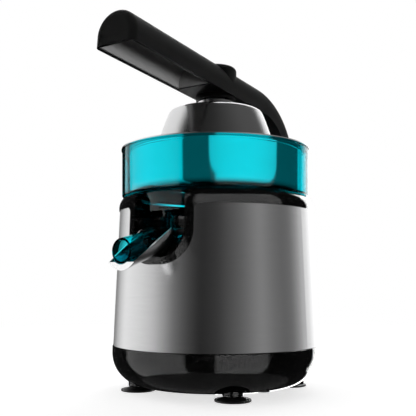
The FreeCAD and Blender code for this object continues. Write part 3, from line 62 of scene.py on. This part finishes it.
class Graph:
    """A small wrapper that adds nodes to a material or world and links them."""

    def __init__(self, owner):
        owner.use_nodes = True
        self.tree = owner.node_tree
        self.tree.nodes.clear()

    def node(self, kind, inputs=None, **settings):
        """A new node; inputs are values or outputs of other nodes."""
        made = self.tree.nodes.new(kind)
        for name, value in settings.items():
            setattr(made, name, value)
        for name, value in (inputs or {}).items():
            self.put(made.inputs[name], value)
        return made

    def put(self, socket, value):
        """Links an output to a socket, or sets the socket to a value."""
        if isinstance(value, bpy.types.NodeSocket):
            self.tree.links.new(value, socket)
        else:
            socket.default_value = value

    def math(self, operation, *values):
        made = self.node("ShaderNodeMath", operation=operation)
        for socket, value in zip(made.inputs, values):
            self.put(socket, value)
        return made.outputs[0]

    def length(self, first, second):
        """The length of a flat vector with these two parts."""
        squares = [self.math("POWER", part, 2.0) for part in (first, second)]
        return self.math("SQRT", self.math("ADD", *squares))

    def ramp(self, factor, stops, smooth=False):
        """A colour ramp; each stop is a place from 0 to 1 and a grey level or a colour."""
        made = self.node("ShaderNodeValToRGB", {"Fac": factor})
        made.color_ramp.interpolation = "EASE" if smooth else "LINEAR"
        elements = made.color_ramp.elements
        while len(elements) < len(stops):
            elements.new(0.5)
        for element, (place, level) in zip(elements, stops):
            colour = (level,) * 3 if isinstance(level, float) else level
            element.position = place
            element.color = (*colour, 1.0)
        return made.outputs["Color"]

    def noise(self, vector, scale, detail=2.0, roughness=0.5):
        made = self.node("ShaderNodeTexNoise", {
            "Vector": vector, "Scale": scale, "Detail": detail, "Roughness": roughness})
        return made.outputs["Fac"]

    def spread(self, noise, low, high):
        """Moves a noise into the band from low to high."""
        made = self.node("ShaderNodeMapRange", {
            "Value": noise, "From Min": NOISE_LOW, "From Max": NOISE_HIGH, "To Min": low, "To Max": high})
        return made.outputs["Result"]

    def tint(self, noise, dark, light):
        """A colour or a grey level between dark and light that follows a noise."""
        return self.ramp(self.spread(noise, 0.0, 1.0), [(0.0, dark), (1.0, light)])

    def bump(self, height, strength, distance):
        made = self.node("ShaderNodeBump", {"Height": height, "Strength": strength, "Distance": distance})
        return made.outputs["Normal"]

    def glow(self, level):
        return self.node("ShaderNodeEmission", {"Color": WHITE, "Strength": level})

    def clear(self):
        return self.node("ShaderNodeBsdfTransparent", {"Color": WHITE})

    def join(self, kind, first, second, inputs=None):
        """A node that mixes or adds two shaders."""
        made = self.node(kind, inputs)
        sockets = [socket for socket in made.inputs if socket.type == "SHADER"]
        for socket, shader in zip(sockets, (first, second)):
            self.put(socket, shader.outputs[0])
        return made

    def add(self, first, second):
        return self.join("ShaderNodeAddShader", first, second)

    def mix(self, factor, first, second):
        return self.join("ShaderNodeMixShader", first, second, {"Fac": factor})

    def surface(self, shader, kind="ShaderNodeOutputMaterial"):
        """Makes the output node and links the shader to it."""
        self.node(kind, {"Surface": shader.outputs[0]})


def new_material(name):
    """A material with a Principled shader, and the coordinates of the object it is on."""
    material = bpy.data.materials.new(name)
    graph = Graph(material)
    shader = graph.node("ShaderNodeBsdfPrincipled")
    graph.surface(shader)
    place = graph.node("ShaderNodeTexCoord").outputs["Object"]
    return material, graph, shader, place


def fill(graph, shader, **values):
    """Sets the shader's sockets; underscores in a name stand for spaces."""
    for name, value in values.items():
        graph.put(shader.inputs[name.replace("_", " ")], value)


def round_the_axis(graph, place, around, along):
    """Coordinates that wrap round the drive axis, for marks left by spinning and brushing."""
    parts = graph.node("ShaderNodeSeparateXYZ", {"Vector": place})
    angle = graph.math("ARCTAN2", parts.outputs["Y"], parts.outputs["X"])
    radius = graph.length(parts.outputs["X"], parts.outputs["Y"])
    joined = graph.node("ShaderNodeCombineXYZ", {
        "X": graph.math("MULTIPLY", angle, around),
        "Y": graph.math("MULTIPLY", radius, along),
        "Z": graph.math("MULTIPLY", parts.outputs["Z"], along)})
    return joined.outputs["Vector"]


# Materials

def brushed_steel():
    """The sleeve: fine lines brushed round the body, which spread the light up and down."""
    material, graph, shader, place = new_material("brushed_steel")
    wrapped = round_the_axis(graph, place, around=2.0, along=1100.0)
    lines = graph.noise(wrapped, scale=2.2, detail=4.0, roughness=0.65)
    clouds = graph.noise(place, scale=28.0, detail=3.0)
    fill(graph, shader,
         Base_Color=graph.tint(lines, (0.61, 0.61, 0.615), (0.66, 0.66, 0.665)),
         Metallic=1.0,
         Roughness=graph.math("ADD", graph.spread(lines, 0.19, 0.22), graph.spread(clouds, -0.01, 0.01)),
         Normal=graph.bump(lines, strength=0.05, distance=0.02 * MM))
    return material


def polished_steel(name, level, gloss):
    """Spun and polished sheet steel with faint turning rings and a trace of wiping."""
    material, graph, shader, place = new_material(name)
    wrapped = round_the_axis(graph, place, around=0.8, along=900.0)
    rings = graph.noise(wrapped, scale=1.6, detail=3.0)
    wipes = graph.noise(place, scale=40.0, detail=4.0)
    wiped = graph.spread(wipes, gloss * 0.85, gloss * 1.15)
    fill(graph, shader,
         Base_Color=graph.tint(wipes, level * 0.96, (level, level, level * 1.01)),
         Metallic=1.0,
         Roughness=graph.math("ADD", wiped, graph.spread(rings, -0.01, 0.01)),
         Normal=graph.bump(rings, strength=0.05, distance=0.02 * MM))
    return material


def gloss_black():
    """Moulded black plastic with a polished skin and a little of the mould's ripple."""
    material, graph, shader, place = new_material("gloss_black")
    ripple = graph.noise(place, scale=60.0, detail=1.0)
    dust = graph.noise(place, scale=90.0)
    fill(graph, shader,
         Base_Color=graph.tint(dust, 0.0025, 0.0035),
         Roughness=graph.spread(dust, 0.035, 0.045),
         IOR=1.5,
         Normal=graph.bump(ripple, strength=0.01, distance=0.1 * MM))
    return material


def matte_black(name, low, high, rough, grain):
    """Moulded plastic with a spark-eroded grain; low and high are its darkest and its palest grey."""
    material, graph, shader, place = new_material(name)
    pits = graph.noise(place, scale=2600.0, roughness=0.6)
    clouds = graph.noise(place, scale=30.0, detail=3.0)
    pitted = graph.spread(pits, rough - 0.05, rough + 0.05)
    fill(graph, shader,
         Base_Color=graph.tint(clouds, low, high),
         Roughness=graph.math("ADD", pitted, graph.spread(clouds, -0.02, 0.02)),
         IOR=1.46,
         Specular_IOR_Level=0.25,
         Normal=graph.bump(pits, strength=grain, distance=0.06 * MM))
    return material


def clear_cyan():
    """Clear tinted plastic, smooth on both faces, with faint flow marks from the mould."""
    material, graph, shader, place = new_material("clear_cyan")
    flow = graph.noise(round_the_axis(graph, place, around=3.0, along=60.0), scale=1.0)
    fill(graph, shader,
         Base_Color=graph.tint(flow, (0.03, 0.88, 0.96), (0.05, 0.91, 0.99)),
         Roughness=graph.spread(flow, 0.0, 0.015),
         IOR=1.18,
         Transmission_Weight=1.0,
         Normal=graph.bump(flow, strength=0.03, distance=0.3 * MM))
    return material


def soft_rubber():
    """The feet and the seals: dark rubber with a pale bloom and fine pores."""
    material, graph, shader, place = new_material("soft_rubber")
    bloom = graph.noise(place, scale=160.0, detail=4.0)
    pores = graph.noise(place, scale=3000.0)
    fill(graph, shader,
         Base_Color=graph.tint(bloom, 0.006, 0.014),
         Roughness=graph.spread(bloom, 0.42, 0.6),
         Normal=graph.bump(pores, strength=0.1, distance=0.05 * MM))
    return material


def natural_nylon():
    """The gears: undyed nylon, cloudy and a little yellow."""
    material, graph, shader, place = new_material("natural_nylon")
    clouds = graph.noise(place, scale=90.0, detail=4.0)
    grain = graph.noise(place, scale=1800.0)
    fill(graph, shader,
         Base_Color=graph.tint(clouds, (0.66, 0.64, 0.57), (0.78, 0.76, 0.70)),
         Roughness=graph.spread(clouds, 0.4, 0.55),
         Normal=graph.bump(grain, strength=0.1, distance=0.05 * MM))
    return material


def machined_metal(name, dark, light, rough):
    """Turned or stamped metal with tool marks."""
    material, graph, shader, place = new_material(name)
    marks = graph.noise(round_the_axis(graph, place, around=1.0, along=700.0), scale=2.0, detail=3.0)
    fill(graph, shader,
         Base_Color=graph.tint(marks, dark, light),
         Metallic=1.0,
         Roughness=graph.spread(marks, rough - 0.06, rough + 0.06),
         Normal=graph.bump(marks, strength=0.1, distance=0.03 * MM))
    return material


MATERIALS = {
    "gloss_black": gloss_black(),
    "rubber": soft_rubber(),
    "brushed_steel": brushed_steel(),
    "polished_steel": polished_steel("polished_steel", level=0.74, gloss=0.22),
    "clear_cyan": clear_cyan(),
    "matte_black": matte_black("matte_black", low=0.006, high=0.008, rough=0.5, grain=0.12),
    "satin_dark": matte_black("satin_dark", low=0.27, high=0.31, rough=0.3, grain=0.03),
    "dark_plastic": matte_black("dark_plastic", low=0.012, high=0.018, rough=0.38, grain=0.08),
    "nylon": natural_nylon(),
    "machined_steel": machined_metal("machined_steel", (0.48, 0.48, 0.49), (0.6, 0.6, 0.61), rough=0.3),
    "bronze": machined_metal("bronze", (0.5, 0.33, 0.15), (0.62, 0.43, 0.2), rough=0.4),
}

# The strainer drum shows sharper reflections than the other polished pieces.
MIRROR_STEEL = polished_steel("drawn_steel", level=0.8, gloss=0.04)

SLOT_OF = {entry["node"]: entry["material_slot"] for entry in frame["record"]["subparts"]}
for name, node in nodes.items():
    node.data.materials.clear()
    node.data.materials.append(MIRROR_STEEL if name == "strainer" else MATERIALS[SLOT_OF[name]])


# Return spring


def press_spring():
    """Draws the spindle's return spring again as a mesh of its own, carried by the output body; the spindle
    is pressed down onto the start switch.
    """
    node = nodes["spindle_spring"]
    spring = bpy.data.objects.new("return_spring", node.data.copy())
    bpy.context.scene.collection.objects.link(spring)
    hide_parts("spindle_spring")
    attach(spring, "output")
    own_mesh(spring)


press_spring()


# Studio: a pale floor, a white backdrop and soft light all round

# The photograph's camera, from a fit to the round seams of the body. Angles are in degrees.
VIEW_AZIMUTH = 33.5
CAMERA_TILT = 95.94
CAMERA_PLACE = (0.3265, -0.4933, 0.0906)
CAMERA_SENSOR = 36.0
CAMERA_LENS = 59.5
CAMERA_SHIFT = -0.0183
CAMERA_CLIP = 0.01

# The world is dim, but white behind the object. The first ramp runs over shares of a turn, and the second
# over the height of a direction plus a half.
WORLD_LEVEL = 0.008
BACKDROP_ROUND = [(0.01, 1.0), (0.02, 0.0), (0.94, 0.0), (0.96, 1.0)]
BACKDROP_UP = [(0.4, 0.0), (0.5, 1.0)]

# The floor fades to white between these shares of its radius.
FLOOR_RADIUS = 2.2
FLOOR_COLOUR = (0.8, 0.8, 0.8, 1.0)
FLOOR_GLOW = 0.7
FLOOR_FADE = [(0.14, 0.0), (0.4, 1.0)]
FLOOR_SEGMENTS = 64

# The spheres of the surrounds are nested, each a step larger than the one before.
SURROUND_AWAY = 2.3
SURROUND_STEP = 0.02
SURROUND_CENTRE = 0.15
SURROUND_SEGMENTS = 64
SURROUND_RINGS = 32

GRIP_CARD_PLACE = (0.45, -0.15, 0.15)
GRIP_CARD_WIDTH = 0.6
GRIP_CARD_HEIGHT = 0.11
GRIP_CARD_LEVEL = 9.0

FULL_TURN = 360.0
HALF_TURN = 180.0

# A pinch that never takes effect.
NO_PINCH = 9.0

# What the panels on the black and on the clear plastic have in common.
BLACK_PANELS = {"upright": 3.0, "corner": 6.0, "soft": 5.0, "least": 0.02}
CLEAR_PANELS = {"corner": 18.0, "soft": 3.0}

# A surround is a glowing sphere about the object that lights its own pieces alone. Directions on it are in
# degrees: to the right of the camera, as seen from the object, and up. A surround has these keys:
# lit, the nodes it lights, without which it lights all that the other surrounds leave;
# round and up, the levels at directions round the object and up it, which multiply each other;
# panels, each its first and last direction, lower and upper edge, and level;
# corner and soft, the radius of the panels' corners and the width of their edges, in degrees round it;
# upright, how many of those degrees one degree up counts for;
# pinch, the share of a corner after which a panel goes on straight past its upper and lower edges;
# fall, how much dimmer a panel is at its sides than in the middle;
# least, a level added everywhere;
# rays, the light path outputs that tell which rays see it, with the least value of each.
SURROUNDS = {
    "wall": {
        "round": [(-180, 1.0), (-168, 0.9), (-156, 0.2), (-146, 0.35), (-138, 0.62), (-118, 1.18),
                  (-92, 1.0), (-74, 0.8), (-59, 0.48), (-46, 0.2), (-31, 0.08), (-17, 0.02), (3, 0.05),
                  (29, 0.17), (50, 0.33), (66, 0.22), (80, 0.17), (92, 0.2), (106, 0.45), (132, 1.3),
                  (150, 1.6), (165, 1.5), (180, 1.0)],
        "up": [(-90, 1.0), (62, 1.0), (76, 0.1), (90, 0.1)],
    },
    "drum": {
        "lit": ("juice_bowl",),
        "rays": {"Glossy Depth": 1, "Transmission Depth": 4},
        "panels": [(-157, -42, -80, 69, 0.92), (-8, 83, 5.3, 69, 0.92), (-200, 200, -80, 85, 0.11),
                   (136, 210, -5, 85, 0.6)],
        "upright": 7.0,
        "pinch": 0.83,
        "fall": 0.3,
        "up": [(-60, 0.0), (5, 1.0), (90, 1.0)],
        **CLEAR_PANELS,
    },
    "clear_film": {
        "lit": ("juice_bowl",),
        "rays": {"Is Reflection Ray": 1},
        "panels": [(-118, -43, 4.9, 69, 4.0), (-8, 76, 6.4, 69, 4.0)],
        "upright": 9.0,
        "up": [(-90, 1.0), (6.9, 1.0), (7.7, 0.25), (90, 0.2)],
        **CLEAR_PANELS,
    },
    "clear_edge": {
        "lit": ("juice_bowl", "spout_nozzle"),
        "rays": {"Is Reflection Ray": 1},
        "round": [(-180, 0.0), (-143, 0.0), (-139, 1.6), (-118, 0.3), (-110, 0.0), (125, 0.0), (138, 2.8),
                  (160, 2.6), (180, 1.0)],
    },
    "collar": {
        "lit": ("top_collar",),
        "panels": [(-106, -34, -5, 45, 1.05), (-24, 80, -5, 45, 1.05), (132, 200, -10, 60, 4.5)],
        **BLACK_PANELS,
    },
    "base": {
        "lit": ("base_pan",),
        "panels": [(-110, -33, -44, 65, 1.0), (0, 57, -44, 65, 1.0), (132, 200, -26, 65, 4.5),
                   (-200, 200, -120, -44, 0.1)],
        **BLACK_PANELS,
    },
    "scoop": {
        "lit": ("spout_scoop",),
        "round": [(-180, 1.0), (-140, 1.3), (-50, 1.3), (-30, 0.5), (0, 0.1), (60, 0.04), (120, 0.08),
                  (150, 0.5), (180, 1.0)],
    },
    "dome": {
        "lit": ("press_dome", "dome_neck"),
        "round": [(-180, 1.2), (-150, 0.95), (-130, 0.92), (-104, 0.93), (-96, 0.8), (-88, 0.5), (-80, 0.15),
                  (-74, 0.02), (-64, 0.0), (-50, 0.003), (0, 0.025), (40, 0.06), (70, 0.085), (115, 0.085),
                  (121, 0.12), (126, 0.33), (131, 0.75), (140, 1.1), (160, 1.3), (180, 1.3)],
    },
    "arm": {
        "lit": ("lever_arm", "handle_liner", "spout_bay", "spout_pins"),
        "round": [(-180, 0.4), (-90, 0.35), (0, 0.25), (90, 0.3), (180, 0.4)],
        "up": [(-90, 0.03), (-12, 0.03), (-2, 1.0), (90, 1.0)],
    },
}


def turn_from_view(graph, way):
    """A vector's direction as a share of a turn round the object, 0.5 towards the camera, and its parts."""
    parts = graph.node("ShaderNodeSeparateXYZ", {"Vector": way})
    azimuth = graph.math("ARCTAN2", parts.outputs["X"], graph.math("MULTIPLY", parts.outputs["Y"], -1.0))
    turned = graph.math("SUBTRACT", azimuth, math.radians(VIEW_AZIMUTH))
    share = graph.math("FRACT", graph.math("ADD", graph.math("DIVIDE", turned, 2 * math.pi), 1.5))
    return share, parts


def seen_directly(graph, backdrop):
    """1 for what the camera sees, and for what metal and glass show of the backdrop."""
    path = graph.node("ShaderNodeLightPath")
    shown = graph.math("MAXIMUM", path.outputs["Is Glossy Ray"], path.outputs["Is Transmission Ray"])
    return graph.math("MAXIMUM", path.outputs["Is Camera Ray"], graph.math("MULTIPLY", shown, backdrop))


def studio_world():
    """White where the camera looks and behind the object; dim elsewhere, as the surrounds give the light."""
    world = bpy.data.worlds.new("studio")
    bpy.context.scene.world = world
    graph = Graph(world)
    share, parts = turn_from_view(graph, graph.node("ShaderNodeTexCoord").outputs["Generated"])
    behind = graph.ramp(share, BACKDROP_ROUND, smooth=True)
    above = graph.ramp(graph.math("ADD", parts.outputs["Z"], 0.5), BACKDROP_UP, smooth=True)
    backdrop = graph.math("MULTIPLY", behind, above)
    dim = graph.node("ShaderNodeBackground", {"Color": WHITE, "Strength": WORLD_LEVEL})
    white = graph.node("ShaderNodeBackground", {"Color": WHITE, "Strength": 1.0})
    graph.surface(graph.mix(seen_directly(graph, backdrop), dim, white), "ShaderNodeOutputWorld")


def stage_object(name, shape, material):
    """A piece of the studio, which is no part of the object."""
    mesh = bpy.data.meshes.new(name)
    shape.to_mesh(mesh)
    shape.free()
    mesh.materials.append(material)
    made = bpy.data.objects.new(name, mesh)
    bpy.context.scene.collection.objects.link(made)
    return made


def pale_floor():
    """A floor that the camera sees as white, with the object's shadow on it, and that no mirror shows."""
    material = bpy.data.materials.new("floor")
    graph = Graph(material)
    diffuse = graph.node("ShaderNodeBsdfDiffuse", {"Color": FLOOR_COLOUR})
    bright = graph.add(diffuse, graph.glow(FLOOR_GLOW))
    place = graph.node("ShaderNodeTexCoord").outputs["Object"]
    away = graph.node("ShaderNodeVectorMath", {"Vector": place}, operation="LENGTH").outputs["Value"]
    far = graph.ramp(graph.math("DIVIDE", away, FLOOR_RADIUS), FLOOR_FADE, smooth=True)
    faded = graph.mix(far, bright, graph.glow(1.0))
    path = graph.node("ShaderNodeLightPath")
    either = graph.mix(path.outputs["Is Camera Ray"], diffuse, faded)
    mirrored = graph.math("GREATER_THAN", path.outputs["Glossy Depth"], 0.5)
    graph.surface(graph.mix(mirrored, either, graph.clear()))
    shape = bmesh.new()
    bmesh.ops.create_circle(shape, cap_ends=True, radius=FLOOR_RADIUS, segments=FLOOR_SEGMENTS)
    floor = stage_object("floor", shape, material)
    floor.visible_diffuse = False
    return floor


def panel_level(graph, share, height, panel, entry):
    """The glow of one panel with round corners and soft edges, from the distance to its outline."""
    first, last, low, high, level = panel
    corner = entry["corner"]
    half_edge = entry["soft"] / 2
    upright = entry["upright"]
    half_width = (last - first) / 2
    half_height = upright * (high - low) / 2
    azimuth = graph.math("MULTIPLY_ADD", share, FULL_TURN, -HALF_TURN - (first + last) / 2)
    elevation = graph.math("DEGREES", graph.math("ARCSINE", height))
    up = graph.math("MULTIPLY_ADD", elevation, upright, -upright * (low + high) / 2)
    beside = graph.math("SUBTRACT", graph.math("ABSOLUTE", azimuth), half_width - corner)
    beyond = graph.math("SUBTRACT", graph.math("ABSOLUTE", up), half_height - corner)
    pinched = graph.math("MINIMUM", beyond, entry.get("pinch", NO_PINCH) * corner)
    distance = graph.length(graph.math("MAXIMUM", beside, 0.0), graph.math("MAXIMUM", pinched, 0.0))
    edge = graph.node("ShaderNodeMapRange", {
        "Value": distance, "From Min": corner - half_edge, "From Max": corner + half_edge,
        "To Min": level, "To Max": 0.0})
    fall = graph.math("POWER", graph.math("DIVIDE", azimuth, half_width), 2.0)
    dimming = graph.math("MULTIPLY_ADD", fall, -entry.get("fall", 0.0), 1.0)
    return graph.math("MULTIPLY", edge.outputs["Result"], dimming)


def surround_level(graph, entry, away):
    """The level of a surround in each direction."""
    share, parts = turn_from_view(graph, graph.node("ShaderNodeTexCoord").outputs["Object"])
    height = graph.math("DIVIDE", parts.outputs["Z"], away)
    total = entry.get("least", 0.0)
    for panel in entry.get("panels", ()):
        total = graph.math("ADD", total, panel_level(graph, share, height, panel, entry))
    if "round" in entry:
        stops = [(degrees / FULL_TURN + 0.5, level) for degrees, level in entry["round"]]
        total = graph.math("ADD", total, graph.ramp(share, stops))
    if "up" in entry:
        stops = [(math.sin(math.radians(degrees)) / 2 + 0.5, level) for degrees, level in entry["up"]]
        risen = graph.ramp(graph.math("MULTIPLY_ADD", height, 0.5, 0.5), stops)
        total = graph.math("MULTIPLY", total, risen)
    for output, least in entry.get("rays", {}).items():
        path = graph.node("ShaderNodeLightPath")
        sees = graph.math("GREATER_THAN", path.outputs[output], least - 0.5)
        total = graph.math("MULTIPLY", total, sees)
    return total


def glow_material(name, make_level):
    """A see-through glow; make_level gives its level from the material's graph."""
    material = bpy.data.materials.new(name)
    graph = Graph(material)
    graph.surface(graph.add(graph.glow(make_level(graph)), graph.clear()))
    return material


def light_alone(lamp, receivers):
    """Hides a glowing piece from the camera and gives its light to these objects alone."""
    lamp.visible_camera = False
    lamp.visible_shadow = False
    group = bpy.data.collections.new("lit_by_" + lamp.name)
    for receiver in receivers:
        group.objects.link(receiver)
    lamp.light_linking.receiver_collection = group


def surrounds(floor):
    """The glowing spheres; what no other surround lights is lit by the wall."""
    taken = [name for entry in SURROUNDS.values() for name in entry.get("lit", ())]
    rest = [node for name, node in nodes.items() if name not in taken] + [floor]
    for index, (name, entry) in enumerate(SURROUNDS.items()):
        away = SURROUND_AWAY + SURROUND_STEP * index
        shape = bmesh.new()
        bmesh.ops.create_uvsphere(
            shape, u_segments=SURROUND_SEGMENTS, v_segments=SURROUND_RINGS, radius=away)
        material = glow_material("surround_" + name, lambda graph: surround_level(graph, entry, away))
        if "panels" in entry or "rays" in entry:
            material.cycles.emission_sampling = "NONE"
        lamp = stage_object("surround_" + name, shape, material)
        lamp.location.z = SURROUND_CENTRE
        light_alone(lamp, [nodes[lit] for lit in entry["lit"]] if "lit" in entry else rest)


def grip_card():
    """A lit card on the right, low enough to shine under the arm onto the far side of the grip."""
    shape = bmesh.new()
    bmesh.ops.create_grid(shape, x_segments=1, y_segments=1, size=0.5)
    card = stage_object("grip_card", shape, glow_material("grip_card", lambda graph: GRIP_CARD_LEVEL))
    card.scale = (GRIP_CARD_HEIGHT, GRIP_CARD_WIDTH, 1.0)
    card.rotation_euler.y = math.radians(-90)
    card.location = GRIP_CARD_PLACE
    light_alone(card, [nodes["handle_liner"]])


def photo_camera():
    """The photograph's camera."""
    data = bpy.data.cameras.new("camera")
    data.sensor_width = CAMERA_SENSOR
    data.lens = CAMERA_LENS
    data.shift_x = CAMERA_SHIFT
    data.clip_start = CAMERA_CLIP
    camera = bpy.data.objects.new("camera", data)
    camera.location = CAMERA_PLACE
    camera.rotation_euler = (math.radians(CAMERA_TILT), 0.0, math.radians(VIEW_AZIMUTH))
    bpy.context.scene.collection.objects.link(camera)
    bpy.context.scene.camera = camera


studio_world()
surrounds(pale_floor())
grip_card()
photo_camera()
bpy.context.scene.view_settings.view_transform = "Standard"
